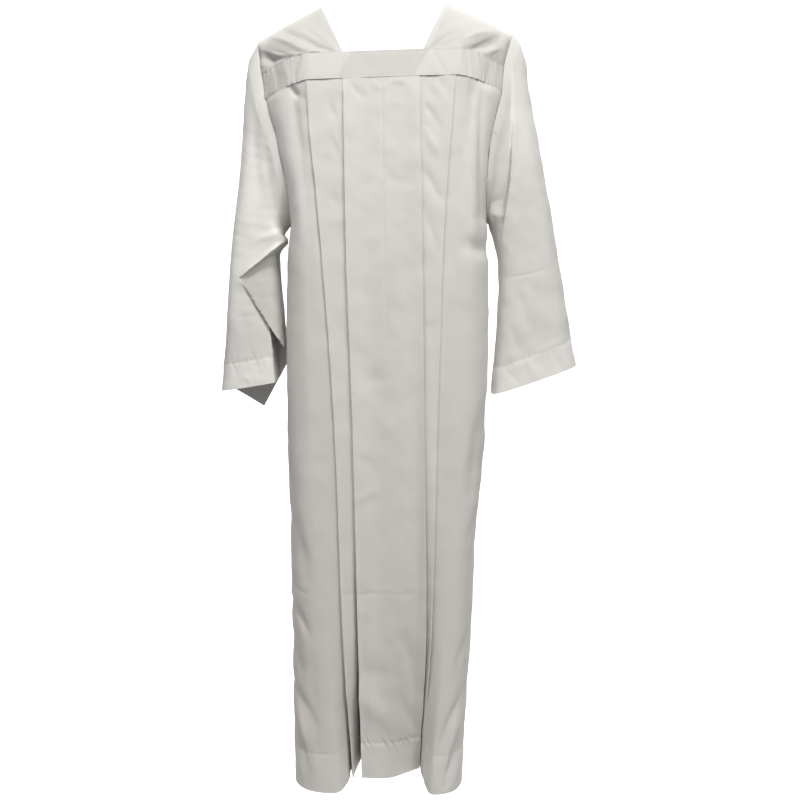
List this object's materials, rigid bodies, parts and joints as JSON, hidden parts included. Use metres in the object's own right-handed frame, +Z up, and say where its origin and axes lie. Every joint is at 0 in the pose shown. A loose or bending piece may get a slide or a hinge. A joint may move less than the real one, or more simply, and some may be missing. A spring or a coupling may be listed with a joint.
{
  "type": "alb robe",
  "caption": "Long white pleated cloth robe with a square neck, a straight chest band, wide set-in sleeves and deep hems, hanging filled out and open",
  "frame": {"origin": "Midpoint of the line between the neck-side ends of the two shoulder ridges, where the wearer's shoulders hold the robe up", "axes": "+Z up, from hem to shoulders; -Y to the front of the robe; +X towards the robe's own left sleeve, which is on the right seen from the front"},
  "size_m": [0.6457, 0.2493, 1.4162],
  "materials": {
    "front_panel": "smooth white plain-weave poly-cotton",
    "back_panel": "smooth white plain-weave poly-cotton",
    "band_front": "smooth white plain-weave poly-cotton",
    "band_back": "smooth white plain-weave poly-cotton",
    "yoke_left": "smooth white plain-weave poly-cotton",
    "yoke_right": "smooth white plain-weave poly-cotton",
    "sleeve_left": "smooth white plain-weave poly-cotton",
    "sleeve_right": "smooth white plain-weave poly-cotton"
  },
  "bodies": {
    "root": {"front_panel": "front_panel", "back_panel": "back_panel", "band_front": "band_front", "band_back": "band_back", "yoke_left": "yoke_left", "yoke_right": "yoke_right", "sleeve_left": "sleeve_left", "sleeve_right": "sleeve_right"}
  },
  "joints": []
}
